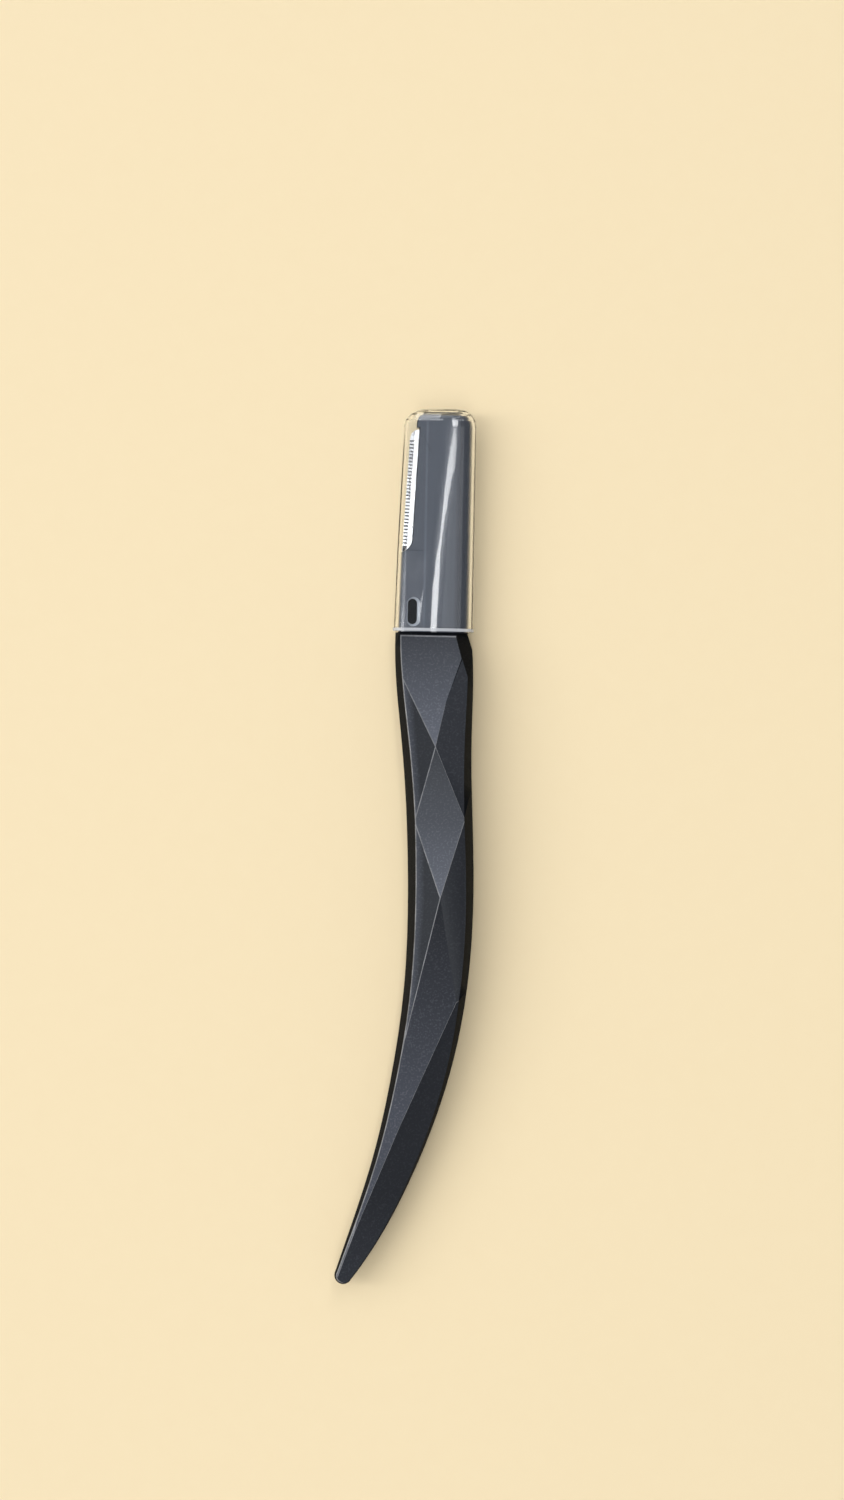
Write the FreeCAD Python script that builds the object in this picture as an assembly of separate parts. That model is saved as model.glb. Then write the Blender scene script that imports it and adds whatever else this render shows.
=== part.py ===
import FreeCAD, Part
import math
import os

Vector = FreeCAD.Vector

# Eyebrow razor with its cap on, lying on its back. +Y runs along the head towards its end, +X to the spine,
# +Z up from the surface it rests on. Sizes are in millimetres and degrees.

# Handle: a faceted tusk, straight below the shoulder and then bent towards the cutting side
handle_length = 113.7
handle_width = 13.1
handle_thickness = 9.0
handle_lean = 3.0
straight_length = 40.0
bend_radius = 135.0
shoulder_thickness = 5.9
shoulder_chamfer = 0.5
flank_thickness = 2.8
tip_thickness = 3.0
tip_radius = 1.5
side_land = 1.2
side_inset = 1.45
shield_step = 0.3
riser_run = 0.35

# Width along the handle: station as a share of its length, width as a share of its widest
handle_width_shares = (
    (0.0, 0.98), (0.04, 1.01), (0.16, 0.91), (0.35, 0.855),
    (0.55, 0.81), (0.68, 0.72), (0.80, 0.57), (0.93, 0.37),
)

# Corners of the facets: station as a share of the length, place across as a share of the half width
shield_tip_shares = (0.155, -0.085)
shield_corner_shares = (0.040, 0.707)
shield_top_shares = (0.009, 0.603)
bevel_foot_shares = (0.027, 0.945)
shoulder_left_shares = (0.067, -0.83)
shoulder_right_shares = (0.079, 0.77)
pinch_upper_shares = (0.170, -0.04)
waist_left_shares = (0.28, -0.73)
waist_right_shares = (0.28, 0.755)
pinch_lower_shares = (0.406, -0.03)
heel_left_shares = (0.61, -0.76)
heel_right_shares = (0.546, 0.537)
leaf_right_shares = (0.569, 0.486)
leaf_left_shares = (0.624, -0.714)
crest_shares = (0.745, -0.26)
ridge_end_shares = (0.826, -0.561)
flank_shares = (0.836, 1.0)

# Inside of the handle shells
shell_wall = 1.4
rib_thickness = 1.0
rib_station_shares = (0.23, 0.50)
boss_radius = 2.0
boss_station_shares = (0.12, 0.37, 0.62)
pin_radius = 0.9
pin_length = 1.6
fit_clearance = 0.05

# Tang of the handle inside the head, and its snap nub
tang_length = 11.0
tang_width = 8.0
tang_offset = 0.6
tang_thickness = 2.4
tang_corner_radius = 1.0
nub_clearance = 0.15
nub_recess = 0.5

# Head: a tapered oval bar that ends in a dome
head_length = 37.5
head_base_width = 12.0
head_knee_width = 11.7
head_end_width = 10.97
head_base_thickness = 4.8
head_knee_thickness = 4.6
head_end_thickness = 4.15
head_knee_height = 14.0
dome_height = 2.3
dome_left_radius = 3.4
dome_right_radius = 2.3
dome_front_radius = 1.25
dome_steps = 4

# Section of the head: a round crest, two flat flanks and two side rounds
crest_radius = 12.0
blade_flank_slope = 9.0
spine_flank_slope = 8.0
base_crest_share = 0.514
knee_crest_share = 0.56
end_crest_share = 0.66
side_round_share = 0.9
dome_crest_share = 0.3

# Cut-out of the head that bares the blade, and the cheek above it
window_top_margin = 2.6
window_top_bare = 1.5
window_low_bare = 1.6
window_slope = 22.0
window_corner_radius = 2.2
cheek_bare = 1.03
cheek_radius = 2.0

# Pill window of the head over the snap nub
pill_offset = 2.98
pill_height = 3.6
pill_width = 1.55
pill_length = 4.3
pill_chamfer = 0.38

# Blade
blade_width = 6.2
blade_thickness = 0.25
blade_top_gap = 0.15
blade_foot_gap = 1.3
blade_heel_height = 2.1
blade_corner_radius = 1.6
blade_heel_cover = 0.1
blade_pin_radius = 0.8
blade_pin_depth = 3.9
blade_pin_shares = (0.22, 0.78)
blade_pin_length = 0.9
edge_bevel = 0.8
edge_thickness = 0.02
edge_setback = 0.15
edge_lean = 2.92

# Guard comb folded over the edge
foil_thickness = 0.08
foil_reach = 1.1
foil_fold_offset = 0.085
foil_fold_steps = 3
tooth_depth = 0.75
tooth_pitch = 0.58
tooth_gap = 0.33
comb_top_margin = 1.9
comb_clearance = 0.1

# Clear cap
cap_clearance = 0.15
cap_wall = 0.55
cap_rim_gap = 0.3
cap_lip = 0.22
cap_lip_height = 0.5

# Cutting tools reach this far past what they cut
overrun = 1.0

crown = handle_thickness / 2
across = Vector(handle_width, 0, 0)
up = Vector(0, 0, 1)
tip_station = handle_length - tip_radius
tip_shares = (tip_station / handle_length, 2 * tip_radius / handle_width)
outline_shares = handle_width_shares + (tip_shares,)
cavity_shares = handle_width_shares[1:-2]
rest_station_share = waist_left_shares[0]
spine = head_base_width / 2
tang_middle = -tang_offset
pill_left = tang_middle - pill_offset
body_sections = (
    (0, head_base_width, head_base_thickness, base_crest_share),
    (head_knee_height, head_knee_width, head_knee_thickness, knee_crest_share),
    (head_length - dome_height, head_end_width, head_end_thickness, end_crest_share),
)
window_top = head_length - window_top_margin
blade_top = window_top - blade_top_gap
blade_low = tang_length + blade_foot_gap
window_low = blade_low + blade_heel_height
edge_turn = math.radians(edge_lean)


def blend(start, end, share):
    return start + (end - start) * share


# Handle centreline and outline

def centreline(station):
    lean = math.radians(handle_lean)
    if station == 0:
        return Vector(), Vector(1, 0, 0)
    if station <= straight_length:
        point = Vector(station * math.sin(lean), -station * math.cos(lean), 0)
        return point, Vector(math.cos(lean), math.sin(lean), 0)
    straight_end = Vector(straight_length * math.sin(lean), -straight_length * math.cos(lean), 0)
    bend_centre = straight_end - Vector(math.cos(lean), math.sin(lean), 0) * bend_radius
    turn = lean - (station - straight_length) / bend_radius
    normal = Vector(math.cos(turn), math.sin(turn), 0)
    return bend_centre + normal * bend_radius, normal


def half_width(station_share):
    for (low, low_width), (high, high_width) in zip(outline_shares, outline_shares[1:]):
        if station_share <= high:
            share = (station_share - low) / (high - low)
            return blend(low_width, high_width, share) * handle_width / 2
    return tip_radius


def handle_wire(shares, inset, height):
    right = []
    left = []
    for station_share, width_share in shares:
        point, normal = centreline(station_share * handle_length)
        reach = width_share * handle_width / 2 - inset
        right.append(point + normal * reach + up * height)
        left.append(point - normal * reach + up * height)
    onward = Vector(normal.y, -normal.x, 0)
    end = point + onward * reach + up * height
    right_edge = Part.BSplineCurve()
    right_edge.interpolate(right)
    left_edge = Part.BSplineCurve()
    left_edge.interpolate(left[::-1])
    curves = (right_edge, Part.Arc(right[-1], end, left[-1]), left_edge, Part.LineSegment(left[0], right[0]))
    return Part.Wire([curve.toShape() for curve in curves])


# Facets of the handle, each a plane through three corners

def spot(shares, height):
    station_share, across_share = shares
    point, normal = centreline(station_share * handle_length)
    return point + normal * (across_share * half_width(station_share)) + up * height


def plane_normal(corners):
    normal = (corners[1] - corners[0]).cross(corners[2] - corners[0])
    normal.normalize()
    return normal if normal.z > 0 else -normal


def lifted(point, corners):
    normal = plane_normal(corners)
    rise = (corners[0] - point).dot(normal) / normal.z
    return point + up * rise


def half_space_above(corners, inset):
    normal = plane_normal(corners)
    size = 2 * handle_length
    box = Part.makeBox(2 * size, 2 * size, size, Vector(-size, -size, 0))
    box.Placement = FreeCAD.Placement(corners[0] - normal * inset, FreeCAD.Rotation(up, normal))
    return box


def facet_tools(inset):
    shoulder = Vector(0, 0, shoulder_thickness / 2)
    pinch_upper = spot(pinch_upper_shares, crown)
    pinch_lower = spot(pinch_lower_shares, crown)
    waist_left = spot(waist_left_shares, crown)
    waist_right = spot(waist_right_shares, crown)
    tip = spot((1, 0), tip_thickness / 2)

    shield = (pinch_upper, pinch_upper + across, shoulder)
    shoulder_left = lifted(spot(shoulder_left_shares, 0), shield)
    shoulder_right = lifted(spot(shoulder_right_shares, 0), shield) - up * shield_step
    shield_tip = lifted(spot(shield_tip_shares, 0), shield)
    shield_corner = lifted(spot(shield_corner_shares, 0), shield)
    riser_edge = shield_corner - shield_tip
    outward = Vector(riser_edge.y, -riser_edge.x, 0)
    outward.normalize()
    riser = (shield_tip, shield_corner, shield_corner + outward * riser_run - up * shield_step)
    shield_top = lifted(spot(shield_top_shares, 0), shield)
    corner_bevel = (shield_top, shield_corner, spot(bevel_foot_shares, side_land / 2))
    upper_left = (pinch_upper, waist_left, shoulder_left)
    upper_right = (pinch_upper, waist_right, shoulder_right)

    tipward = tip - pinch_lower
    leaf = (pinch_lower, pinch_lower + Vector(tipward.y, -tipward.x, 0), tip)
    heel_left = lifted(spot(heel_left_shares, 0), leaf)
    heel_right = lifted(spot(heel_right_shares, 0), leaf)
    lower_left = (pinch_lower, waist_left, heel_left)
    lower_right = (pinch_lower, waist_right, heel_right)
    crest = lifted(spot(crest_shares, 0), leaf)
    leaf_right = lifted(spot(leaf_right_shares, 0), leaf)
    flank = (crest, leaf_right, spot(flank_shares, flank_thickness / 2))
    leaf_left = lifted(spot(leaf_left_shares, 0), leaf)
    ridge_end = lifted(spot(ridge_end_shares, 0), flank)
    left_flank = (leaf_left, crest, ridge_end)

    chamfer_foot = shoulder - up * shoulder_chamfer
    chamfer = (chamfer_foot, chamfer_foot + across, chamfer_foot + Vector(0, -shoulder_chamfer, shoulder_chamfer))

    planes = (
        shield, corner_bevel, upper_left, leaf, lower_left, lower_right, flank, left_flank, chamfer)
    tools = [half_space_above(corners, inset) for corners in planes]
    step_tool = half_space_above(upper_right, inset).common(half_space_above(riser, inset))
    return tools + [step_tool]


def handle_half(shares, inset):
    land = side_land / 2
    low = handle_wire(shares, inset, land)
    high = handle_wire(shares, inset + side_inset, crown - inset)
    band = Part.Face(handle_wire(shares, inset, 0)).extrude(up * land)
    half = band.fuse(Part.makeLoft([low, high], True, True))
    for tool in facet_tools(inset):
        half = half.cut(tool)
    return half.removeSplitter()


# Flat outlines with rounded corners

def rounded_face(corners):
    edges = []
    starts = []
    ends = []
    count = len(corners)
    for index, (corner, radius) in enumerate(corners):
        before = corners[index - 1][0] - corner
        after = corners[(index + 1) % count][0] - corner
        before.normalize()
        after.normalize()
        if radius == 0:
            starts.append(corner)
            ends.append(corner)
            continue
        half_angle = before.getAngle(after) / 2
        reach = radius / math.tan(half_angle)
        inward = before + after
        inward.normalize()
        middle = corner + inward * (radius / math.sin(half_angle) - radius)
        starts.append(corner + before * reach)
        ends.append(corner + after * reach)
        edges.append(Part.Arc(starts[-1], middle, ends[-1]).toShape())
    for index in range(count):
        run_start = ends[index - 1]
        if run_start.distanceToPoint(starts[index]) > 0:
            edges.append(Part.LineSegment(run_start, starts[index]).toShape())
    return Part.Face(Part.Wire(Part.__sortEdges__(edges)))


def rounded_box(left, right, low, high, radius, bottom, top):
    corners = [
        (Vector(left, low, bottom), radius), (Vector(right, low, bottom), radius),
        (Vector(right, high, bottom), radius), (Vector(left, high, bottom), radius),
    ]
    return rounded_face(corners).extrude(up * (top - bottom))


def pill_wire(width, length, height):
    side = width / 2
    run = (length - width) / 2
    middle = Vector(pill_left, pill_height, height)
    lower_right = middle + Vector(side, -run, 0)
    upper_right = middle + Vector(side, run, 0)
    upper_left = middle + Vector(-side, run, 0)
    lower_left = middle + Vector(-side, -run, 0)
    curves = (
        Part.LineSegment(lower_right, upper_right),
        Part.Arc(upper_right, middle + Vector(0, run + side, 0), upper_left),
        Part.LineSegment(upper_left, lower_left),
        Part.Arc(lower_left, middle + Vector(0, -run - side, 0), lower_right),
    )
    return Part.Wire([curve.toShape() for curve in curves])


# Body of the head, grown by an offset for the cap

def flank_height(offset, rise, crest_round, slope):
    turn = math.radians(slope)
    return rise + crest_round * (1 / math.cos(turn) - 1) - offset * math.tan(turn)


def crest_place(width, crest_share):
    return spine - width * (1 - crest_share)


def side_heights(width, thickness, crest_share):
    # Heights of the blade flank and of the spine flank where they reach the two sides
    crest_x = crest_place(width, crest_share)
    rise = thickness / 2
    blade_side = flank_height(crest_x - spine + width, rise, crest_radius, blade_flank_slope)
    spine_side = flank_height(spine - crest_x, rise, crest_radius, spine_flank_slope)
    return blade_side, spine_side


def section_side(height, side_x, crest_x, rise, crest_round, slope, round_share, grow):
    # From the end of the crest round along the flank, round the side and down to the parting plane
    sign = math.copysign(1, side_x - crest_x)
    turn = math.radians(slope)
    outward = Vector(sign * math.sin(turn), 0, math.cos(turn))
    sideways = Vector(sign, 0, 0)
    side_height = flank_height(abs(side_x - crest_x), rise, crest_round, slope)
    side_round = round_share * side_height / math.tan((math.pi / 2 - turn) / 2)
    round_centre = Vector(side_x - sign * side_round, height, (1 - round_share) * side_height)
    half_turn = outward + sideways
    half_turn.normalize()
    flank_start = Vector(crest_x, height, rise - crest_round) + outward * (crest_round + grow)
    flank_end = round_centre + outward * (side_round + grow)
    land = round_centre + sideways * (side_round + grow)
    foot = land - up * land.z
    curves = (
        Part.LineSegment(flank_start, flank_end),
        Part.Arc(flank_end, round_centre + half_turn * (side_round + grow), land),
        Part.LineSegment(land, foot),
    )
    return flank_start, [curve.toShape() for curve in curves], foot


def section_wire(height, left, right, crest_x, rise, crest_round, round_shares, grow):
    blade_share, spine_share = round_shares
    left_start, left_edges, left_foot = section_side(
        height, left, crest_x, rise, crest_round, blade_flank_slope, blade_share, grow)
    right_start, right_edges, right_foot = section_side(
        height, right, crest_x, rise, crest_round, spine_flank_slope, spine_share, grow)
    crest = Part.Arc(left_start, Vector(crest_x, height, rise + grow), right_start).toShape()
    floor = Part.LineSegment(right_foot, left_foot).toShape()
    return Part.Wire(left_edges[::-1] + [crest] + right_edges + [floor])


def body_round_shares(section):
    # The side rounds keep one radius along the body, set by its lowest side
    lowest = [min(heights) for heights in zip(*[side_heights(*other[1:]) for other in body_sections])]
    heights = side_heights(*section[1:])
    return [side_round_share * low / height for low, height in zip(lowest, heights)]


def body_section(section, grow):
    height, width, thickness, crest_share = section
    return section_wire(
        height, spine - width, spine, crest_place(width, crest_share), thickness / 2, crest_radius,
        body_round_shares(section), grow)


def dome_section(step_share, grow):
    height, width, thickness, crest_share = body_sections[-1]
    angle = math.radians(90 * step_share)
    inward = 1 - math.cos(angle)
    return section_wire(
        height + (dome_height + grow) * math.sin(angle),
        spine - width + dome_left_radius * inward, spine - dome_right_radius * inward,
        crest_place(width, crest_share), thickness / 2 - dome_front_radius * inward,
        crest_radius * blend(1, dome_crest_share, inward),
        body_round_shares(body_sections[-1]), grow * math.cos(angle))


def head_envelope_half(grow):
    body = Part.makeLoft([body_section(section, grow) for section in body_sections], True, True)
    dome = Part.makeLoft([dome_section(step / dome_steps, grow) for step in range(dome_steps + 1)], True, True)
    return body.fuse(dome)


def surface_at_pill():
    offset = crest_place(head_base_width, base_crest_share) - pill_left
    return flank_height(offset, head_base_thickness / 2, crest_radius, blade_flank_slope)


# Blade frame: along the cutting edge, and square to it into the head

def edge_point(height):
    left = spine - head_knee_width + edge_setback
    return Vector(left + (height - head_knee_height) * math.tan(edge_turn), height, 0)


def window_edge_height():
    # Height at which the slanted end of the cut-out meets the cutting edge
    slope = math.tan(math.radians(window_slope))
    lean = math.tan(edge_turn)
    window_low_left = edge_point(window_low).x + window_low_bare
    return (window_low + slope * (edge_point(0).x - window_low_left)) / (1 - slope * lean)


def along_edge():
    return Vector(math.sin(edge_turn), math.cos(edge_turn), 0)


def into_head():
    return Vector(math.cos(edge_turn), -math.sin(edge_turn), 0)


# Cut-out beside the blade, with the slanted lower end

def window_tool(reach):
    far = spine - 2 * head_base_width
    cheek_left = edge_point(window_top).x + cheek_bare
    window_top_left = edge_point(window_top).x + window_top_bare
    window_low_left = edge_point(window_low).x + window_low_bare
    drop = (window_low_left - far) * math.tan(math.radians(window_slope))
    corners = [
        (Vector(far, head_length + dome_height, -reach), 0),
        (Vector(cheek_left, head_length + dome_height, -reach), 0),
        (Vector(cheek_left, window_top, -reach), 0),
        (Vector(window_top_left, window_top, -reach), 0),
        (Vector(window_low_left, window_low, -reach), window_corner_radius),
        (Vector(far, window_low - drop, -reach), 0),
    ]
    return rounded_face(corners).extrude(up * (2 * reach))


def cheek_round_tool(reach):
    corner = Vector(edge_point(window_top).x + cheek_bare, head_length, -reach)
    block = Part.makeBox(cheek_radius, cheek_radius, 2 * reach, corner - Vector(0, cheek_radius, 0))
    keep = Part.makeCylinder(cheek_radius, 2 * reach, corner + Vector(cheek_radius, -cheek_radius, 0))
    return block.cut(keep)


def blade_face(grow, level):
    low = edge_point(blade_low - grow) - into_head() * grow
    top = edge_point(blade_top + grow) - into_head() * grow
    back = into_head() * (blade_width + 2 * grow)
    heel = edge_point(window_edge_height() - blade_heel_cover - grow) - into_head() * grow
    heel_foot = low + into_head() * (heel.y - low.y)
    corners = [(heel, 0), (heel_foot, 0), (low + back, 0), (top + back, 0), (top, blade_corner_radius)]
    return rounded_face([(corner + up * level, radius) for corner, radius in corners])


def blade_pin_places():
    low = edge_point(blade_low) + into_head() * blade_pin_depth
    run = along_edge() * (blade_top - blade_low)
    return [low + run * share for share in blade_pin_shares]


def blade():
    half = blade_thickness / 2
    plate = blade_face(0, -half).extrude(up * blade_thickness)
    start = edge_point(blade_low) - along_edge() * overrun
    bevel_tip = edge_thickness / 2
    ground = Part.makePolygon([
        start + up * bevel_tip, start + into_head() * edge_bevel + up * half,
        start + up * half, start + up * bevel_tip,
    ])
    sharpening = Part.Face(ground).extrude(along_edge() * (blade_top - blade_low + 2 * overrun))
    plate = plate.cut(sharpening).cut(sharpening.mirror(Vector(), up))
    for place in blade_pin_places():
        plate = plate.cut(Part.makeCylinder(blade_pin_radius + fit_clearance, blade_thickness, place - up * half))
    return plate


def guard_comb():
    inner = blade_thickness / 2
    start = edge_point(blade_low)
    fold = start + into_head() * foil_fold_offset
    end = start + into_head() * foil_reach
    loop = []
    for radius in (inner + foil_thickness, inner):
        side = [end + up * radius]
        for step in range(foil_fold_steps + 1):
            angle = math.radians(180 * step / foil_fold_steps)
            side.append(fold + up * (radius * math.cos(angle)) - into_head() * (radius * math.sin(angle)))
        side.append(end - up * radius)
        loop += side if radius > inner else side[::-1]
    profile = Part.Face(Part.makePolygon(loop + loop[:1]))
    foil = profile.extrude(along_edge() * (blade_top - blade_low - comb_top_margin))
    turn = FreeCAD.Rotation(up, -edge_lean)
    first_gap = edge_point(window_edge_height() + foil_reach)
    toothed_length = blade_top - comb_top_margin - first_gap.y
    gaps = []
    for index in range(int(toothed_length / tooth_pitch)):
        gap = Part.makeBox(tooth_depth + overrun, tooth_gap, 2 * overrun, Vector(-overrun, 0, -overrun))
        gap.Placement = FreeCAD.Placement(first_gap + along_edge() * (index * tooth_pitch), turn)
        gaps.append(gap)
    opening = window_tool(overrun).translated(Vector(-comb_clearance, comb_clearance, 0))
    return foil.cut(Part.makeCompound(gaps)).common(opening)


# Head shells, split on the plane of the blade

def head_half():
    half = head_envelope_half(0)
    half = half.cut(window_tool(head_base_thickness)).cut(cheek_round_tool(head_base_thickness))
    half = half.cut(blade_face(fit_clearance, -overrun).extrude(up * (overrun + blade_thickness / 2)))
    side = tang_width / 2 + fit_clearance
    socket = rounded_box(
        tang_middle - side, tang_middle + side, -tang_length, tang_length + fit_clearance, tang_corner_radius,
        -overrun, tang_thickness / 2 + fit_clearance)
    return half.cut(socket)


def head_front_shell():
    shell = head_half()
    surface = head_base_thickness / 2
    prism = Part.Face(pill_wire(pill_width, pill_length, 0)).extrude(up * surface)
    rim_low = surface_at_pill() - pill_chamfer
    flare = 2 * (pill_chamfer + overrun)
    rim = Part.makeLoft([
        pill_wire(pill_width, pill_length, rim_low),
        pill_wire(pill_width + flare, pill_length + flare, rim_low + pill_chamfer + overrun),
    ], True, True)
    shell = shell.cut(prism).cut(rim)
    for place in blade_pin_places():
        shell = shell.cut(Part.makeCylinder(blade_pin_radius + fit_clearance, blade_pin_length + fit_clearance, place))
    return shell


def head_rear_shell():
    shell = head_half().mirror(Vector(), up)
    for place in blade_pin_places():
        foot = place - up * (blade_thickness / 2 + fit_clearance)
        height = blade_pin_length + blade_thickness / 2 + fit_clearance
        shell = shell.fuse(Part.makeCylinder(blade_pin_radius, height, foot))
    return shell


# Handle shells with tang, ribs and bosses

def handle_shell_half():
    outer = handle_half(outline_shares, 0)
    shell = outer.cut(handle_half(cavity_shares, shell_wall))
    inner_parts = []
    for station_share in boss_station_shares:
        point = centreline(station_share * handle_length)[0]
        inner_parts.append(Part.makeCylinder(boss_radius, crown, point))
    for station_share in rib_station_shares:
        point, normal = centreline(station_share * handle_length)
        rib = Part.makeBox(handle_width, rib_thickness, crown, Vector(-handle_width / 2, -rib_thickness / 2, 0))
        turn = FreeCAD.Rotation(Vector(1, 0, 0), normal)
        rib.Placement = FreeCAD.Placement(point, turn).multiply(rib.Placement)
        inner_parts.append(rib)
    for inner_part in inner_parts:
        shell = shell.fuse(inner_part.common(outer))
    tang = rounded_box(
        tang_middle - tang_width / 2, tang_middle + tang_width / 2, -overrun - tang_corner_radius, tang_length,
        tang_corner_radius, 0, tang_thickness / 2)
    return shell.fuse(tang).removeSplitter()


def handle_front_shell():
    shell = handle_shell_half()
    for station_share in boss_station_shares:
        point = centreline(station_share * handle_length)[0]
        shell = shell.cut(Part.makeCylinder(pin_radius + fit_clearance, pin_length + fit_clearance, point))
    gap = 2 * nub_clearance
    nub = Part.Face(pill_wire(pill_width - gap, pill_length - gap, 0)).extrude(up * head_base_thickness)
    nub = nub.common(head_envelope_half(-nub_recess))
    return shell.fuse(nub).removeSplitter()


def handle_rear_shell():
    shell = handle_shell_half().mirror(Vector(), up)
    for station_share in boss_station_shares:
        point = centreline(station_share * handle_length)[0]
        shell = shell.fuse(Part.makeCylinder(pin_radius, 2 * pin_length, point - up * pin_length))
    return shell.removeSplitter()


def clear_cap():
    outer_half = head_envelope_half(cap_clearance + cap_wall)
    inner_half = head_envelope_half(cap_clearance)
    corner = Vector(-head_base_width, -overrun, -head_base_thickness)
    below = Part.makeBox(2 * head_base_width, cap_rim_gap + overrun, 2 * head_base_thickness, corner)
    mouth = Part.makeBox(
        2 * head_base_width, cap_rim_gap + cap_lip_height + overrun, 2 * head_base_thickness, corner)
    outer_half = outer_half.fuse(head_envelope_half(cap_clearance + cap_wall + cap_lip).common(mouth))
    outer = outer_half.fuse(outer_half.mirror(Vector(), up))
    inner = inner_half.fuse(inner_half.mirror(Vector(), up))
    return outer.cut(inner).cut(below).removeSplitter()


# Every piece moves from the shoulder to the rest frame and is written under its own name

rest_shift = Vector(0, rest_station_share * handle_length, crown)
pieces = {
    "handle_front_shell": handle_front_shell,
    "handle_rear_shell": handle_rear_shell,
    "head_front_shell": head_front_shell,
    "head_rear_shell": head_rear_shell,
    "blade": blade,
    "guard_comb": guard_comb,
    "clear_cap": clear_cap,
}

os.makedirs("parts", exist_ok=True)
for name, make in pieces.items():
    piece = make().translated(rest_shift)
    piece.exportStep("parts/" + name + ".step")
    print(name, piece.ShapeType, len(piece.Solids), piece.isValid(), round(piece.Volume, 2))
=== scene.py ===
import bmesh
import bpy
import math
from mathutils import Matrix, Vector


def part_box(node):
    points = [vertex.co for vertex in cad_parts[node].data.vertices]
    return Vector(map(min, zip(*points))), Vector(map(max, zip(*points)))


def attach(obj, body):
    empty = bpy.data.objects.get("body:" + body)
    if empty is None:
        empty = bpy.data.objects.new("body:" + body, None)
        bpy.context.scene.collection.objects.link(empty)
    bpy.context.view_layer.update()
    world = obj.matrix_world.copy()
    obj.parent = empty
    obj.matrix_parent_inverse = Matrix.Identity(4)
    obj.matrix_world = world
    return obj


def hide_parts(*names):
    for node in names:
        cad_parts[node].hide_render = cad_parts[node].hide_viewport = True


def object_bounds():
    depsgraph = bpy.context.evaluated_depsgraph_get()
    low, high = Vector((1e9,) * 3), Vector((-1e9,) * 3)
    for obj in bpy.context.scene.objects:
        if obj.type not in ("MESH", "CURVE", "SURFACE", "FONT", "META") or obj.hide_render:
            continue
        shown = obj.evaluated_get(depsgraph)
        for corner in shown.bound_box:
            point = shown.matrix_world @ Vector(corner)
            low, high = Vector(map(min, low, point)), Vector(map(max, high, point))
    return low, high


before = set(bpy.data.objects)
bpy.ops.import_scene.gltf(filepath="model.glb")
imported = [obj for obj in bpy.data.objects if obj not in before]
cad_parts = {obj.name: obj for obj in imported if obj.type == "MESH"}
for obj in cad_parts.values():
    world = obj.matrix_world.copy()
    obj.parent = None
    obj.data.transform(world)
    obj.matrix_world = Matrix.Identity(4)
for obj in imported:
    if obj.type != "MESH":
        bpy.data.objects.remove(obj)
cadLow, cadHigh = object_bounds()
mm = 0.001
print("frame loaded:", ", ".join(sorted(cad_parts)))


# shader helpers

def newGroup(name, inputs, outputs):
    group = bpy.data.node_groups.new(name, "ShaderNodeTree")
    for label, default in inputs.items():
        socket = group.interface.new_socket(label, in_out="INPUT", socket_type="NodeSocketFloat")
        socket.default_value = default
    for label in outputs:
        group.interface.new_socket(label, in_out="OUTPUT", socket_type="NodeSocketFloat")
    entry = group.nodes.new("NodeGroupInput")
    leave = group.nodes.new("NodeGroupOutput")
    return group, entry, leave


def noise(tree, vector, scale, detail=2.0, roughness=0.5):
    node = tree.nodes.new("ShaderNodeTexNoise")
    tree.links.new(vector, node.inputs["Vector"])
    if hasattr(scale, "node"):
        tree.links.new(scale, node.inputs["Scale"])
    else:
        node.inputs["Scale"].default_value = scale
    node.inputs["Detail"].default_value = detail
    node.inputs["Roughness"].default_value = roughness
    return node.outputs["Fac"]


def remap(tree, value, fromRange, toRange):
    node = tree.nodes.new("ShaderNodeMapRange")
    tree.links.new(value, node.inputs["Value"])
    node.inputs["From Min"].default_value = fromRange[0]
    node.inputs["From Max"].default_value = fromRange[1]
    node.inputs["To Min"].default_value = toRange[0]
    node.inputs["To Max"].default_value = toRange[1]
    return node.outputs["Result"]


def arithmetic(tree, operation, first, second):
    node = tree.nodes.new("ShaderNodeMath")
    node.operation = operation
    for socket, value in zip(node.inputs, (first, second)):
        if hasattr(value, "node"):
            tree.links.new(value, socket)
        else:
            socket.default_value = value
    return node.outputs["Value"]


def mixColour(tree, factor, first, second):
    node = tree.nodes.new("ShaderNodeMix")
    node.data_type = "RGBA"
    tree.links.new(factor, node.inputs["Factor"])
    for socket, colour in ((node.inputs["A"], first), (node.inputs["B"], second)):
        if hasattr(colour, "node"):
            tree.links.new(colour, socket)
        else:
            socket.default_value = (*colour, 1.0)
    return node.outputs["Result"]


def objectPlace(tree):
    return tree.nodes.new("ShaderNodeTexCoord").outputs["Object"]


def stretched(tree, vector, scale):
    node = tree.nodes.new("ShaderNodeVectorMath")
    node.operation = "MULTIPLY"
    tree.links.new(vector, node.inputs[0])
    node.inputs[1].default_value = scale
    return node.outputs["Vector"]


def bump(tree, height, distance, strength=1.0):
    node = tree.nodes.new("ShaderNodeBump")
    node.inputs["Distance"].default_value = distance
    node.inputs["Strength"].default_value = strength
    tree.links.new(height, node.inputs["Height"])
    return node.outputs["Normal"]


def curveOver(tree, value, span, stops):
    # value runs over span, and each stop gives a place in it and the level there
    node = tree.nodes.new("ShaderNodeValToRGB")
    low, high = span
    tree.links.new(remap(tree, value, span, (0.0, 1.0)), node.inputs["Fac"])
    elements = node.color_ramp.elements
    while len(elements) < len(stops):
        elements.new(0.5)
    for element, (where, level) in zip(elements, sorted(stops)):
        element.position = (where - low) / (high - low)
        element.color = (level, level, level, 1.0)
    return node.outputs["Color"]


def axis(tree, name):
    node = tree.nodes.new("ShaderNodeSeparateXYZ")
    tree.links.new(objectPlace(tree), node.inputs["Vector"])
    return node.outputs[name]


def newMaterial(name):
    material = bpy.data.materials.new(name)
    material.use_nodes = True
    tree = material.node_tree
    return material, tree, tree.nodes["Principled BSDF"]


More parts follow.
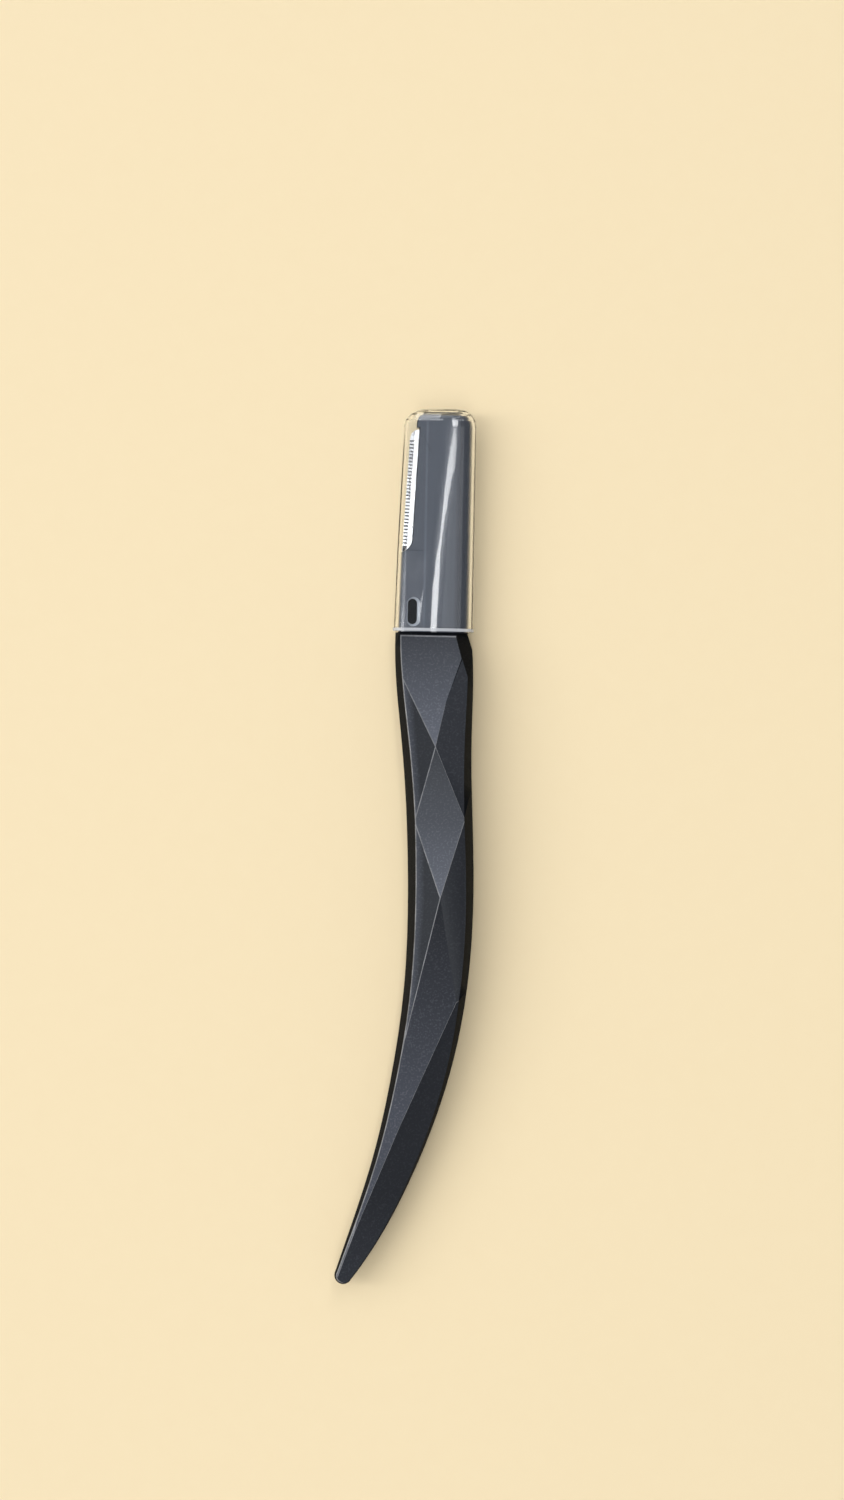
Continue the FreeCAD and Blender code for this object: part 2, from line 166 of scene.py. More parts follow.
def place(tree, group, **values):
    node = tree.nodes.new("ShaderNodeGroup")
    node.node_tree = group
    for label, value in values.items():
        node.inputs[label].default_value = value
    return node.outputs


# fine grain of a spark-eroded mould: an even relief, and specks that catch the light

grainLook = {
    "scale": 3000.0,
    "detail": 2.0,
    "roughness": 0.6,
    "speckSpread": 0.6,
    "speckDetail": 1.0,
    "speckRange": (0.52, 0.72),
}

mouldGrain, entry, leave = newGroup("mouldGrain", {"Scale": grainLook["scale"]}, ("Relief", "Specks"))
here = objectPlace(mouldGrain)
relief = noise(mouldGrain, here, entry.outputs["Scale"], grainLook["detail"], grainLook["roughness"])
coarser = arithmetic(mouldGrain, "MULTIPLY", entry.outputs["Scale"], grainLook["speckSpread"])
dots = noise(mouldGrain, here, coarser, grainLook["speckDetail"])
specks = remap(mouldGrain, dots, grainLook["speckRange"], (0.0, 1.0))
mouldGrain.links.new(relief, leave.inputs["Relief"])
mouldGrain.links.new(specks, leave.inputs["Specks"])


# soft uneven patches where fingers have been

smudgeLook = {
    "scale": 150.0,
    "detail": 3.0,
    "roughness": 0.6,
    "range": (0.35, 0.68),
}

handSmudge, entry, leave = newGroup("handSmudge", {"Scale": smudgeLook["scale"]}, ("Smudge",))
touched = objectPlace(handSmudge)
patches = noise(handSmudge, touched, entry.outputs["Scale"], smudgeLook["detail"], smudgeLook["roughness"])
smudge = remap(handSmudge, patches, smudgeLook["range"], (0.0, 1.0))
handSmudge.links.new(smudge, leave.inputs["Smudge"])

print("shader groups:", ", ".join(group.name for group in bpy.data.node_groups))


# handle plastic, satin black with a fine speckle

handleFinish = {
    "colour": (0.0135, 0.0145, 0.0185),
    "paintedSheenColour": (0.096, 0.104, 0.132),
    "speckColour": (0.260, 0.270, 0.310),
    "speckShare": 0.24,
    "leastSparkle": 0.15,
    "grainScale": 5000.0,
    "grainDepth": 0.0025 * mm,
    "smudgeScale": 120.0,
    "roughness": (0.305, 0.325),
    "specular": 0.32,
    "specularTint": (0.88, 0.94, 1.0, 1.0),
    "span": (-80.0 * mm, 32.0 * mm),
}


def makeHandlePlastic(name, paintSheen, specular=handleFinish["specular"]):
    material, tree, shader = newMaterial(name)
    grain = place(tree, mouldGrain, Scale=handleFinish["grainScale"])
    marks = place(tree, handSmudge, Scale=handleFinish["smudgeScale"])
    speckle = arithmetic(tree, "MULTIPLY", grain["Specks"], handleFinish["speckShare"])
    # each facet is painted paler by its painted sheen, and its specks are painted pale as painted glints,
    # stronger where that sheen is
    paintedSheen = paintSheen(tree)
    ground = mixColour(tree, paintedSheen, handleFinish["colour"], handleFinish["paintedSheenColour"])
    sparkle = arithmetic(tree, "ADD", paintedSheen, handleFinish["leastSparkle"])
    lively = arithmetic(tree, "MULTIPLY", speckle, sparkle)
    colour = mixColour(tree, lively, ground, handleFinish["speckColour"])
    tree.links.new(colour, shader.inputs["Base Color"])
    roughness = remap(tree, marks["Smudge"], (0.0, 1.0), handleFinish["roughness"])
    tree.links.new(roughness, shader.inputs["Roughness"])
    shader.inputs["Specular IOR Level"].default_value = specular
    shader.inputs["Specular Tint"].default_value = handleFinish["specularTint"]
    tree.links.new(bump(tree, grain["Relief"], handleFinish["grainDepth"]), shader.inputs["Normal"])
    return material


# how pale each facet is painted along the handle: a painted sheen, by which the crown facets grow paler
# towards their lower tips

paintedCrownSheen = {
    "shield": ((31.5 * mm, 0.12), (14.2 * mm, 0.93)),
    "diamond": ((12.5 * mm, 0.00), (0.0 * mm, 0.30), (-14.2 * mm, 1.00)),
    "leaf": ((-79.0 * mm, 0.55), (-50.0 * mm, 0.55), (-30.0 * mm, 0.17), (-14.2 * mm, 0.00)),
    "leafSpecular": 0.10,
    "right": (
        (31.5 * mm, 0.06), (4.0 * mm, 0.07), (-12.0 * mm, 0.00), (-64.0 * mm, 0.00), (-79.0 * mm, 0.12),
    ),
    "rightSpecular": 0.25,
}


def paintedCrownSheenMask(tree, facet):
    return curveOver(tree, axis(tree, "Y"), handleFinish["span"], paintedCrownSheen[facet])


# the left facets are painted paler towards their rim, a painted highlight where the edge turns to the
# light; the rim's place across is given along the handle

paintedRimSheen = {
    "rim": (
        (32.0 * mm, -5.8), (24.4 * mm, -5.0), (0.5 * mm, -2.5), (-13.6 * mm, -2.0),
        (-34.7 * mm, -3.0), (-50.0 * mm, -5.2), (-80.0 * mm, -14.0),
    ),
    "farthest": -15.0,
    "reach": 1.5 * mm,
    "level": 0.46,
}


def paintedRimSheenMask(tree):
    stops = [(where, across / paintedRimSheen["farthest"]) for where, across in paintedRimSheen["rim"]]
    rim = curveOver(tree, axis(tree, "Y"), handleFinish["span"], stops)
    rimPlace = arithmetic(tree, "MULTIPLY", rim, paintedRimSheen["farthest"] * mm)
    inward = arithmetic(tree, "SUBTRACT", axis(tree, "X"), rimPlace)
    return remap(tree, inward, (0.0, paintedRimSheen["reach"]), (paintedRimSheen["level"], 0.0))


# the band round the side is duller, and painted darker as painted shade where the sides turn away from the
# lamps

bandFinish = {
    "colour": (0.0040, 0.0050, 0.0068),
    "speckColour": (0.0100, 0.0115, 0.0150),
    "roughness": (0.50, 0.62),
    "specular": 0.03,
}


def makeBandPlastic():
    material, tree, shader = newMaterial("handleBandPaintedShade")
    grain = place(tree, mouldGrain, Scale=handleFinish["grainScale"])
    colour = mixColour(tree, grain["Specks"], bandFinish["colour"], bandFinish["speckColour"])
    tree.links.new(colour, shader.inputs["Base Color"])
    roughness = remap(tree, grain["Relief"], (0.0, 1.0), bandFinish["roughness"])
    tree.links.new(roughness, shader.inputs["Roughness"])
    shader.inputs["Specular IOR Level"].default_value = bandFinish["specular"]
    tree.links.new(bump(tree, grain["Relief"], handleFinish["grainDepth"]), shader.inputs["Normal"])
    return material


# the ridges of the handle, rubbed smooth and painted much lighter: a painted highlight along the edges,
# with paler rubbed patches

ridgeFinish = {
    "colour": (0.110, 0.114, 0.124),
    "paintedLightRubbedColour": (0.220, 0.226, 0.240),
    "smudgeScale": 400.0,
    "roughness": (0.20, 0.32),
}


def makeRidgePlastic():
    material, tree, shader = newMaterial("ridgeWearAndHighlight")
    marks = place(tree, handSmudge, Scale=ridgeFinish["smudgeScale"])
    grain = place(tree, mouldGrain, Scale=handleFinish["grainScale"])
    colour = mixColour(tree, marks["Smudge"], ridgeFinish["colour"], ridgeFinish["paintedLightRubbedColour"])
    tree.links.new(colour, shader.inputs["Base Color"])
    roughness = remap(tree, grain["Specks"], (0.0, 1.0), ridgeFinish["roughness"])
    tree.links.new(roughness, shader.inputs["Roughness"])
    return material


# head plastic, polished slate grey, painted in paler and darker bands across its width: a thin painted
# highlight line near the blade side, and painted shade over the far flank

headFinish = {
    "colour": (0.018, 0.022, 0.034),
    "paleColour": (0.100, 0.114, 0.144),
    "paintedSheenBands": (
        (-6.2 * mm, 0.58), (-1.95 * mm, 0.58), (-1.6 * mm, 1.00), (-1.3 * mm, 0.60), (0.4 * mm, 0.60),
        (1.6 * mm, 0.66), (3.3 * mm, 0.49), (4.1 * mm, 0.02), (6.2 * mm, 0.00),
    ),
    "span": (-7.0 * mm, 7.0 * mm),
    "flowShare": 0.09,
    "flowScale": 700.0,
    "flowDetail": 2.0,
    "flowStretch": (1.0, 0.25, 1.0),
    "smudgeScale": 260.0,
    "roughness": (0.10, 0.18),
    "ior": 1.65,
    "coat": 1.0,
    "coatRoughness": 0.12,
    "flowDepth": 0.004 * mm,
}


def makeHeadPlastic():
    material, tree, shader = newMaterial("headPlastic")
    marks = place(tree, handSmudge, Scale=headFinish["smudgeScale"])
    drawn = stretched(tree, objectPlace(tree), headFinish["flowStretch"])
    flow = noise(tree, drawn, headFinish["flowScale"], headFinish["flowDetail"])
    paintedSheenBands = curveOver(tree, axis(tree, "X"), headFinish["span"], headFinish["paintedSheenBands"])
    flowLevel = arithmetic(tree, "MULTIPLY", flow, headFinish["flowShare"])
    level = arithmetic(tree, "ADD", paintedSheenBands, flowLevel)
    colour = mixColour(tree, level, headFinish["colour"], headFinish["paleColour"])
    tree.links.new(colour, shader.inputs["Base Color"])
    roughness = remap(tree, marks["Smudge"], (0.0, 1.0), headFinish["roughness"])
    tree.links.new(roughness, shader.inputs["Roughness"])
    shader.inputs["IOR"].default_value = headFinish["ior"]
    shader.inputs["Coat Weight"].default_value = headFinish["coat"]
    shader.inputs["Coat Roughness"].default_value = headFinish["coatRoughness"]
    tree.links.new(bump(tree, flow, headFinish["flowDepth"]), shader.inputs["Normal"])
    return material


# the snap window's chamfer, painted pale as a painted highlight, and the painted shadow line beside the
# blade, which also runs along the head's other rounded edges and darkens its seams

rimFinish = {
    "smudgeScale": 900.0,
    "pillRimHighlight": {"colour": (0.36, 0.39, 0.44), "roughness": (0.10, 0.20), "specular": 0.6},
    "bladeGapShadow": {"colour": (0.006, 0.007, 0.010), "roughness": (0.40, 0.60), "specular": 0.1},
}


def makeRim(name):
    look = rimFinish[name]
    material, tree, shader = newMaterial(name)
    marks = place(tree, handSmudge, Scale=rimFinish["smudgeScale"])
    shader.inputs["Base Color"].default_value = (*look["colour"], 1.0)
    roughness = remap(tree, marks["Smudge"], (0.0, 1.0), look["roughness"])
    tree.links.new(roughness, shader.inputs["Roughness"])
    shader.inputs["Specular IOR Level"].default_value = look["specular"]
    return material


# blade steel with fine grinding lines square to its edge

steelFinish = {
    "colour": (0.70, 0.71, 0.73),
    "brightColour": (0.86, 0.86, 0.87),
    "lineScale": 900.0,
    "lineDetail": 3.0,
    "lineRoughness": 0.65,
    "lineStretch": (0.12, 4.0, 1.0),
    "lineDepth": 0.002 * mm,
    "smudgeScale": 300.0,
    "roughness": (0.20, 0.36),
}


def makeBladeSteel():
    material, tree, shader = newMaterial("bladeSteel")
    along = stretched(tree, objectPlace(tree), steelFinish["lineStretch"])
    lines = noise(
        tree, along, steelFinish["lineScale"], steelFinish["lineDetail"], steelFinish["lineRoughness"])
    colour = mixColour(tree, lines, steelFinish["colour"], steelFinish["brightColour"])
    tree.links.new(colour, shader.inputs["Base Color"])
    marks = place(tree, handSmudge, Scale=steelFinish["smudgeScale"])
    roughness = remap(tree, marks["Smudge"], (0.0, 1.0), steelFinish["roughness"])
    tree.links.new(roughness, shader.inputs["Roughness"])
    shader.inputs["Metallic"].default_value = 1.0
    tree.links.new(bump(tree, lines, steelFinish["lineDepth"]), shader.inputs["Normal"])
    return material


# the guard's foil: teeth painted dark as painted shade between a bright spine and a bright fold, paler in
# smudged patches

foilFinish = {
    "toothShadeColour": (0.085, 0.082, 0.082),
    "paintedLightRubbedColour": (0.140, 0.137, 0.136),
    "spineColour": (0.80, 0.80, 0.81),
    "slant": 0.0508,
    "spineStart": (-7.16 * mm, -7.08 * mm),
    "foldEnd": (-7.92 * mm, -7.88 * mm),
    "smudgeScale": 900.0,
    "roughness": (0.22, 0.36),
}


def makeGuardFoil():
    material, tree, shader = newMaterial("guardFoil")
    marks = place(tree, handSmudge, Scale=foilFinish["smudgeScale"])
    teeth = mixColour(tree, marks["Smudge"], foilFinish["toothShadeColour"], foilFinish["paintedLightRubbedColour"])
    # the edge slants a little across the head, and the spine and the fold lie along it
    slant = arithmetic(tree, "MULTIPLY", axis(tree, "Y"), foilFinish["slant"])
    inward = arithmetic(tree, "SUBTRACT", axis(tree, "X"), slant)
    spine = remap(tree, inward, foilFinish["spineStart"], (0.0, 1.0))
    fold = remap(tree, inward, foilFinish["foldEnd"], (1.0, 0.0))
    bright = arithmetic(tree, "MAXIMUM", spine, fold)
    colour = mixColour(tree, bright, teeth, foilFinish["spineColour"])
    tree.links.new(colour, shader.inputs["Base Color"])
    roughness = remap(tree, marks["Smudge"], (0.0, 1.0), foilFinish["roughness"])
    tree.links.new(roughness, shader.inputs["Roughness"])
    shader.inputs["Metallic"].default_value = 1.0
    return material


# clear plastic of the cap, which lets the lamps through

capFinish = {
    "colour": (0.97, 0.98, 0.99),
    "ior": 1.49,
    "smudgeScale": 200.0,
    "roughness": (0.01, 0.05),
}


def makeCapPlastic():
    material, tree, shader = newMaterial("clearCapPlastic")
    marks = place(tree, handSmudge, Scale=capFinish["smudgeScale"])
    roughness = remap(tree, marks["Smudge"], (0.0, 1.0), capFinish["roughness"])
    tree.links.new(roughness, shader.inputs["Roughness"])
    shader.inputs["Base Color"].default_value = (*capFinish["colour"], 1.0)
    shader.inputs["Transmission Weight"].default_value = 1.0
    shader.inputs["IOR"].default_value = capFinish["ior"]
    # shadow rays and diffuse rays go straight through
    seeThrough = tree.nodes.new("ShaderNodeBsdfTransparent")
    rays = tree.nodes.new("ShaderNodeLightPath")
    either = tree.nodes.new("ShaderNodeMixShader")
    straight = arithmetic(tree, "MAXIMUM", rays.outputs["Is Shadow Ray"], rays.outputs["Is Diffuse Ray"])
    tree.links.new(straight, either.inputs["Fac"])
    tree.links.new(shader.outputs["BSDF"], either.inputs[1])
    tree.links.new(seeThrough.outputs["BSDF"], either.inputs[2])
    tree.links.new(either.outputs["Shader"], tree.nodes["Material Output"].inputs["Surface"])
    return material


# the thick lip at the mouth of the cap, painted pale and half clear as a painted highlight for the bright
# line along its edge

lipFinish = {
    "colour": (0.70, 0.72, 0.76),
    "smudgeScale": 400.0,
    "roughness": (0.08, 0.20),
    "alpha": 0.65,
    "height": 0.55 * mm,
}


def makeCapLip():
    material, tree, shader = newMaterial("capLipHighlight")
    marks = place(tree, handSmudge, Scale=lipFinish["smudgeScale"])
    shader.inputs["Base Color"].default_value = (*lipFinish["colour"], 1.0)
    roughness = remap(tree, marks["Smudge"], (0.0, 1.0), lipFinish["roughness"])
    tree.links.new(roughness, shader.inputs["Roughness"])
    shader.inputs["Alpha"].default_value = lipFinish["alpha"]
    return material


shieldFacet = makeHandlePlastic("shieldFacet", lambda tree: paintedCrownSheenMask(tree, "shield"))
diamondFacet = makeHandlePlastic("diamondFacet", lambda tree: paintedCrownSheenMask(tree, "diamond"))
leafFacet = makeHandlePlastic(
    "leafFacet", lambda tree: paintedCrownSheenMask(tree, "leaf"), paintedCrownSheen["leafSpecular"])
leftFacet = makeHandlePlastic("leftFacet", paintedRimSheenMask)
rightFacet = makeHandlePlastic(
    "rightFacet", lambda tree: paintedCrownSheenMask(tree, "right"), paintedCrownSheen["rightSpecular"])
handleBandPaintedShade = makeBandPlastic()
ridgeWearAndHighlight = makeRidgePlastic()
headPlastic = makeHeadPlastic()
pillRimHighlight = makeRim("pillRimHighlight")
bladeGapShadow = makeRim("bladeGapShadow")
capLipHighlight = makeCapLip()
bladeSteel = makeBladeSteel()
guardFoil = makeGuardFoil()
clearCapPlastic = makeCapPlastic()
print("materials:", ", ".join(material.name for material in bpy.data.materials))


# working copies of the moulded shells, with their edges rounded

frontSide, rearSide = 1, -1


def numberSurfaces(bm):
    # each surface of the solid comes in as an island of its own
    surface = bm.faces.layers.int.new("surface")
    number = 0
    for start in bm.faces:
        if start[surface]:
            continue
        number += 1
        start[surface] = number
        waiting = [start]
        while waiting:
            for vert in waiting.pop().verts:
                for face in vert.link_faces:
                    if not face[surface]:
                        face[surface] = number
                        waiting.append(face)
    return surface


def outerSkin(bm, seamHeight, side):
    # faces that can be reached from the crown without crossing the parting plane
    near = 0.002 * mm
    start = max(bm.faces, key=lambda face: side * face.calc_center_median().z)
    skin = {start}
    waiting = [start]
    while waiting:
        for edge in waiting.pop().edges:
            for face in edge.link_faces:
                flat = all(abs(vert.co.z - seamHeight) < near for vert in face.verts)
                if face not in skin and not flat:
                    skin.add(face)
                    waiting.append(face)
    return skin


def drawToPoint(bm, skin, look, paint):
    # a tip that ends in a short edge between two facets becomes a point
    short = []
    for edge in bm.edges:
        outside = all(face in skin for face in edge.link_faces)
        paints = {paint(face) for face in edge.link_faces}
        if outside and edge.calc_length() < look["tipEdge"] and paints == look["tipPaints"]:
            short.append(edge)
    bmesh.ops.collapse(bm, edges=short)
    bm.normal_update()
    print("short edges drawn to a point:", len(short))
    return {face for face in skin if face.is_valid}


def shellCopy(nodeName, pieceName, materials, side, edgeWidth, look, paint):
    bm = bmesh.new()
    bm.from_mesh(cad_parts[nodeName].data)
    surface = numberSurfaces(bm)
    bmesh.ops.remove_doubles(bm, verts=bm.verts[:], dist=look["weld"])
    bmesh.ops.dissolve_limit(
        bm, angle_limit=math.radians(look["flatAngle"]), verts=bm.verts[:], edges=bm.edges[:])
    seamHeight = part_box(nodeName)[0].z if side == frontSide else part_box(look["frontNode"])[0].z
    skin = drawToPoint(bm, outerSkin(bm, seamHeight, side), look, paint)
    weight = bm.edges.layers.float.new("bevel_weight_edge")
    widest = look["widest"]
    for face in bm.faces:
        face.smooth = True
        face.material_index = paint(face) if face in skin else look["innerPaint"]
    for edge in bm.edges:
        if len(edge.link_faces) != 2:
            continue
        first, second = edge.link_faces
        turn = math.degrees(edge.calc_face_angle(0.0))
        if first[surface] == second[surface] or turn < look["leastTurn"]:
            continue
        inSkin = (first in skin) + (second in skin)
        width, crisp = edgeWidth(edge, turn, inSkin)
        edge[weight] = width / widest
        edge.smooth = not crisp
    mesh = bpy.data.meshes.new(pieceName)
    bm.to_mesh(mesh)
    bm.free()
    for material in materials:
        mesh.materials.append(material)
    piece = bpy.data.objects.new(pieceName, mesh)
    bpy.context.collection.objects.link(piece)
    rounding = piece.modifiers.new("roundedEdges", "BEVEL")
    rounding.limit_method = "WEIGHT"
    rounding.width = widest
    rounding.segments = look["segments"]
    rounding.use_clamp_overlap = False
    # the rounded edges take the last paint: on the handle the ridges' painted highlight, on the head a
    # painted shadow line
    rounding.material = len(materials) - 1
    shading = piece.modifiers.new("flatFacets", "WEIGHTED_NORMAL")
    shading.keep_sharp = True
    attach(piece, "razor")
    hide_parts(nodeName)
    print("shell:", pieceName, len(mesh.polygons), "faces")
    return piece


# the handle: each facet gets its paint by its tilt and its place along the handle, so facets turned
# differently carry different painted sheen and painted shade

shieldPaint, diamondPaint, leafPaint, leftPaint, rightPaint, bandPaint = range(6)
handleShape = {
    "innerPaint": bandPaint,
    "tipEdge": 1.6 * mm,
    "tipPaints": {diamondPaint, leafPaint},
    "shoulder": 31.9 * mm,
    "frontNode": "handle_front_shell",
    "weld": 0.001 * mm,
    "flatAngle": 0.05,
    "leastTurn": 2.0,
    "crispTurn": 25.0,
    "widest": 0.20 * mm,
    "rimWidth": 0.15 * mm,
    "ridgeWidth": 0.08 * mm,
    "faintWidth": 0.03 * mm,
    "seamWidth": 0.04 * mm,
    "segments": 2,
    "bandRise": 0.80,
    "levelTilt": 2.6,
    "softTilt": 8.0,
    "diamondTop": 12.5 * mm,
    "leafTop": -14.2 * mm,
}


def facetKind(face):
    tilt = math.degrees(math.asin(face.normal.x))
    along = face.calc_center_median().y
    # steep sides, and everything past the shoulder such as the nub seen in the snap window, take the
    # band's painted shade
    if abs(face.normal.z) < handleShape["bandRise"] or along > handleShape["shoulder"]:
        return bandPaint
    if abs(tilt) > handleShape["levelTilt"]:
        return leftPaint if tilt < 0 else rightPaint
    if along > handleShape["diamondTop"]:
        return shieldPaint
    return diamondPaint if along > handleShape["leafTop"] else leafPaint


def handleEdgeWidth(edge, turn, inSkin):
    if inSkin == 0:
        return 0, turn > handleShape["crispTurn"]
    if inSkin == 1:
        return handleShape["seamWidth"], False
    kinds = {facetKind(face) for face in edge.link_faces}
    if kinds == {bandPaint}:
        return 0, turn > handleShape["crispTurn"]
    if bandPaint in kinds:
        band = next(face for face in edge.link_faces if facetKind(face) == bandPaint)
        # band edges that face the lamps get a rounded rim in the ridges' painted highlight; the others
        # stay crisp
        lit = band.normal.x < 0 or band.normal.y > abs(band.normal.x)
        return (handleShape["rimWidth"], False) if lit else (0, True)
    if leftPaint in kinds:
        return handleShape["ridgeWidth"], False
    tilts = [math.degrees(math.asin(face.normal.x)) for face in edge.link_faces]
    middle = (edge.verts[0].co + edge.verts[1].co) / 2
    if middle.y < handleShape["leafTop"] and max(tilts) < handleShape["softTilt"]:
        return 0, False
    return handleShape["faintWidth"], False


handlePaints = (shieldFacet, diamondFacet, leafFacet, leftFacet, rightFacet, handleBandPaintedShade, ridgeWearAndHighlight)
for nodeName, pieceName, side in (
        ("handle_front_shell", "handleFront", frontSide), ("handle_rear_shell", "handleRear", rearSide)):
    shellCopy(nodeName, pieceName, handlePaints, side, handleEdgeWidth, handleShape, facetKind)


# the head: plain all over, apart from the chamfer of the snap window, which is painted pale as a painted
# highlight

plainPaint, pillHighlightPaint = range(2)
headShape = {
    "frontNode": "head_front_shell",
    "weld": 0.001 * mm,
    "flatAngle": 0.02,
    "leastTurn": 25.0,
    "crispTurn": 35.0,
    "widest": 0.16 * mm,
    "rimWidth": 0.16 * mm,
    "seamWidth": 0.03 * mm,
    "segments": 2,
    "innerPaint": plainPaint,
    "tipEdge": 0.0,
    "tipPaints": set(),
    "pillLow": Vector((-5.2, 32.4, 5.9)) * mm,
    "pillHigh": Vector((-2.2, 38.6, 7.0)) * mm,
    "pillRise": (0.3, 0.9),
}


def nearPill(point):
    low, high = headShape["pillLow"], headShape["pillHigh"]
    return all(low[i] < point[i] < high[i] for i in range(3))


def headKind(face):
    steep, level = headShape["pillRise"]
    pillChamfer = nearPill(face.calc_center_median()) and steep < face.normal.z < level
    return pillHighlightPaint if pillChamfer else plainPaint


def headEdgeWidth(edge, turn, inSkin):
    if inSkin == 0 or all(nearPill(vert.co) for vert in edge.verts):
        return 0, turn > headShape["crispTurn"]
    return headShape["rimWidth"] if inSkin == 2 else headShape["seamWidth"], False


headPaints = (headPlastic, pillRimHighlight, bladeGapShadow)
for nodeName, pieceName, side in (
        ("head_front_shell", "headFront", frontSide), ("head_rear_shell", "headRear", rearSide)):
    shellCopy(nodeName, pieceName, headPaints, side, headEdgeWidth, headShape, headKind)


# blade, guard and cap keep the solids' own meshes

for nodeName, material in (
        ("blade", bladeSteel), ("guard_comb", guardFoil), ("clear_cap", clearCapPlastic)):
    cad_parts[nodeName].data.materials[0] = material
    print("finished:", nodeName, "in", material.name)

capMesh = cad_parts["clear_cap"].data
capMesh.materials.append(capLipHighlight)
lipPaint = len(capMesh.materials) - 1
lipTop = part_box("clear_cap")[0].y + lipFinish["height"]
for polygon in capMesh.polygons:
    if polygon.center.y < lipTop:
        polygon.material_index = lipPaint
print("cap lip painted")


# floor

floorLook = {
    "radius": 6.0,
    "sides": 96,
    "colour": (0.925, 0.765, 0.500),
    "paleColour": (0.935, 0.780, 0.515),
    "fibreScale": 300.0,
    "fibreDetail": 3.0,
    "roughness": 0.9,
    "specular": 0.1,
    "drop": 0.02 * mm,
}


def makeFloor():
    bm = bmesh.new()
    bmesh.ops.create_circle(bm, cap_ends=True, segments=floorLook["sides"], radius=floorLook["radius"])
    mesh = bpy.data.meshes.new("floor")
    bm.to_mesh(mesh)
    bm.free()
    material, tree, shader = newMaterial("paleCard")
    fibre = noise(tree, objectPlace(tree), floorLook["fibreScale"], floorLook["fibreDetail"])
    colour = mixColour(tree, fibre, floorLook["colour"], floorLook["paleColour"])
    tree.links.new(colour, shader.inputs["Base Color"])
    shader.inputs["Roughness"].default_value = floorLook["roughness"]
    shader.inputs["Specular IOR Level"].default_value = floorLook["specular"]
    # seen from below, the floor is clear
    side = tree.nodes.new("ShaderNodeNewGeometry").outputs["Backfacing"]
    tree.links.new(arithmetic(tree, "SUBTRACT", 1.0, side), shader.inputs["Alpha"])
    mesh.materials.append(material)
    floor = bpy.data.objects.new("floor", mesh)
    floor.location.z = cadLow.z - floorLook["drop"]
    bpy.context.collection.objects.link(floor)


makeFloor()
print("floor laid")


# studio light: a strip overhead that narrows above the head, three boxes, a soft sun and a dim surround

studio = {
    # start and end along the razor, place across and width of each stretch
    "strip": (
        (-0.888, 0.060, 0.000, 0.135), (0.060, 0.085, -0.028, 0.139), (0.085, 0.095, -0.040, 0.145),
        (0.095, 0.102, -0.032, 0.105), (0.102, 0.108, -0.022, 0.085), (0.108, 0.113, -0.008, 0.070),
        (0.113, 0.118, 0.012, 0.075), (0.118, 0.123, 0.038, 0.110), (0.123, 0.128, 0.064, 0.155),
        (0.128, 0.135, 0.090, 0.195), (0.135, 0.140, 0.100, 0.175), (0.140, 0.145, 0.104, 0.130),
        (0.145, 0.149, 0.108, 0.065), (0.215, 0.912, 0.120, 0.135),
    ),
    "stripHeight": 0.90,
    "stripRadiance": 5.0,
    "boxes": {
        "rightBox": {
            "place": (0.29, 0.06, 0.90), "aim": (0.29, 0.06, 0.0), "size": (0.24, 0.36), "radiance": 0.28},
        "leftPanel": {
            "place": (-0.75, 0.03, 0.75), "aim": (0.0, 0.03, 0.0), "size": (0.12, 0.90), "radiance": 8.0},
        "farBox": {
            "place": (0.0, 0.95, 0.60), "aim": (0.0, 0.05, 0.0), "size": (0.60, 0.06), "radiance": 5.0},
    },
    "sunFrom": (-0.8, 0.25, 1.0),
    "sunSpread": 70.0,
    "sunStrength": 1.20,
    "zenith": (0.24, 0.25, 0.26),
    "horizon": (0.56, 0.51, 0.43),
    "horizonBand": (0.04, 0.30),
}


def stripBoxes():
    boxes = {}
    for start, end, across, width in studio["strip"]:
        middle = (start + end) / 2
        boxes[f"overheadStrip{len(boxes)}"] = {
            "place": (across, middle, studio["stripHeight"]),
            "aim": (across, middle, 0.0),
            "size": (width, end - start),
            "radiance": studio["stripRadiance"],
        }
    return boxes


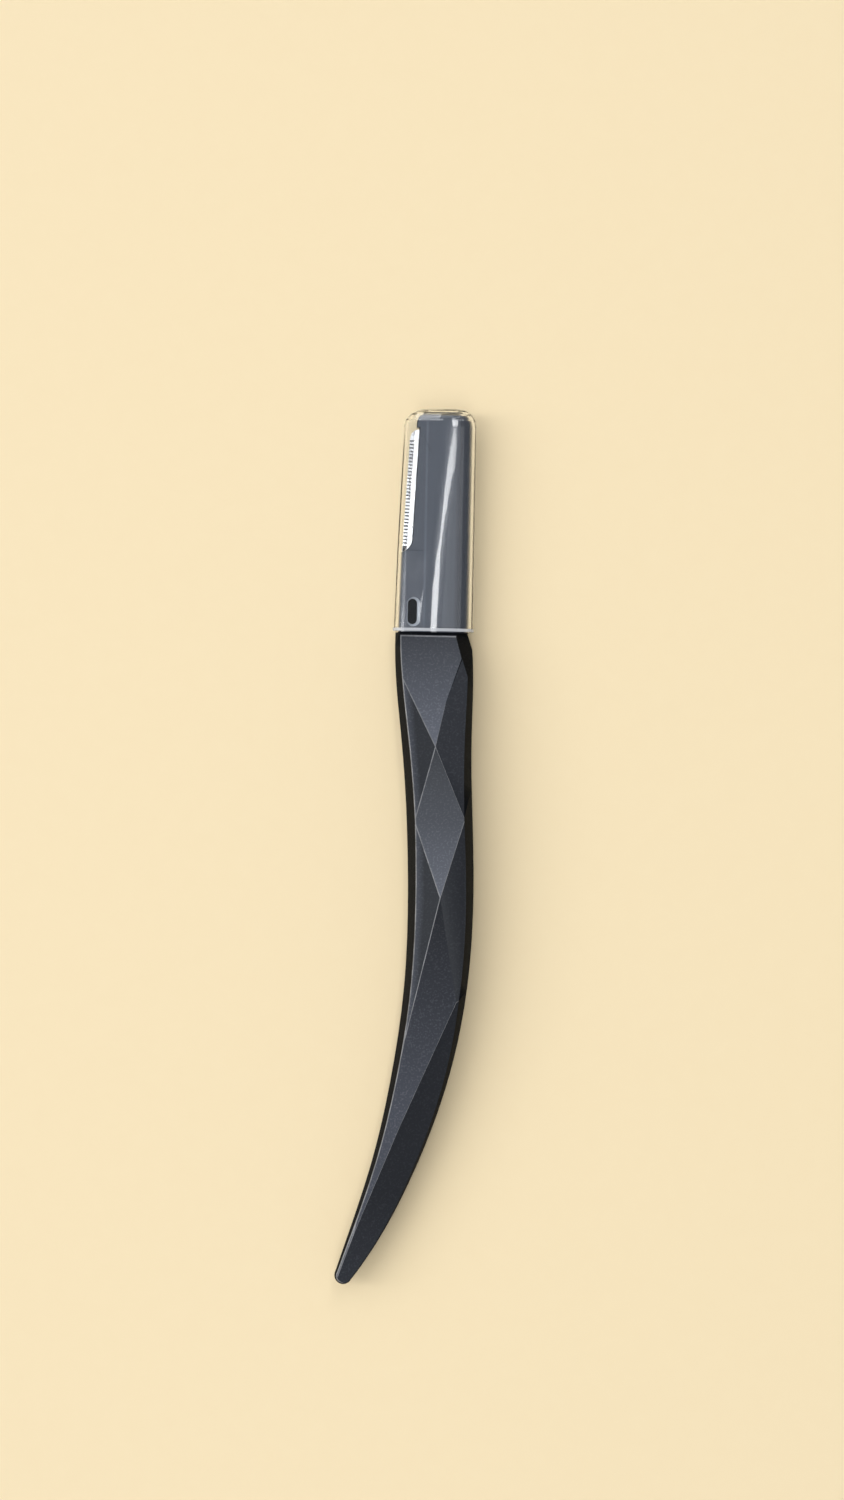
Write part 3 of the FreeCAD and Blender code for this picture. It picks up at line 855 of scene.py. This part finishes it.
def makeBoxes():
    for name, box in {**stripBoxes(), **studio["boxes"]}.items():
        lamp = bpy.data.lights.new(name, "AREA")
        lamp.shape = "RECTANGLE"
        lamp.size, lamp.size_y = box["size"]
        lamp.energy = box["radiance"] * math.pi * lamp.size * lamp.size_y
        lampObject = bpy.data.objects.new(name, lamp)
        lampObject.location = box["place"]
        aim = Vector(box["aim"]) - Vector(box["place"])
        lampObject.rotation_euler = aim.to_track_quat("-Z", "Y").to_euler()
        lampObject.visible_camera = False
        bpy.context.collection.objects.link(lampObject)


def makeSun():
    lamp = bpy.data.lights.new("softSun", "SUN")
    lamp.energy = studio["sunStrength"]
    lamp.angle = math.radians(studio["sunSpread"])
    sun = bpy.data.objects.new("softSun", lamp)
    # its wide disc would lie as a pale patch on the polished head
    sun.visible_glossy = False
    sun.visible_transmission = False
    sun.rotation_euler = (-Vector(studio["sunFrom"])).to_track_quat("-Z", "Y").to_euler()
    bpy.context.collection.objects.link(sun)


def makeSurround():
    world = bpy.data.worlds.new("studioSurround")
    world.use_nodes = True
    tree = world.node_tree
    direction = tree.nodes.new("ShaderNodeTexCoord").outputs["Generated"]
    split = tree.nodes.new("ShaderNodeSeparateXYZ")
    tree.links.new(direction, split.inputs["Vector"])
    rise = remap(tree, split.outputs["Z"], studio["horizonBand"], (0.0, 1.0))
    colour = mixColour(tree, rise, studio["horizon"], studio["zenith"])
    tree.links.new(colour, tree.nodes["Background"].inputs["Color"])
    bpy.context.scene.world = world


makeBoxes()
makeSun()
makeSurround()
print("studio lit")


# camera straight above, turned as in the photograph

photoView = {
    "centre": (-1.50 * mm, 11.91 * mm),
    "tall": 255.0 * mm,
    "turn": 1.15,
    "lens": 100.0,
    "sensor": 36.0,
    "focusHeight": 6.5 * mm,
}


def makeCamera():
    data = bpy.data.cameras.new("photoCamera")
    data.lens = photoView["lens"]
    data.sensor_width = photoView["sensor"]
    camera = bpy.data.objects.new("photoCamera", data)
    distance = photoView["tall"] * photoView["lens"] / photoView["sensor"]
    camera.location = (*photoView["centre"], photoView["focusHeight"] + distance)
    camera.rotation_euler = (0.0, 0.0, math.radians(photoView["turn"]))
    bpy.context.collection.objects.link(camera)
    bpy.context.scene.camera = camera


makeCamera()
bpy.context.scene.view_settings.view_transform = "Standard"
print("camera set")
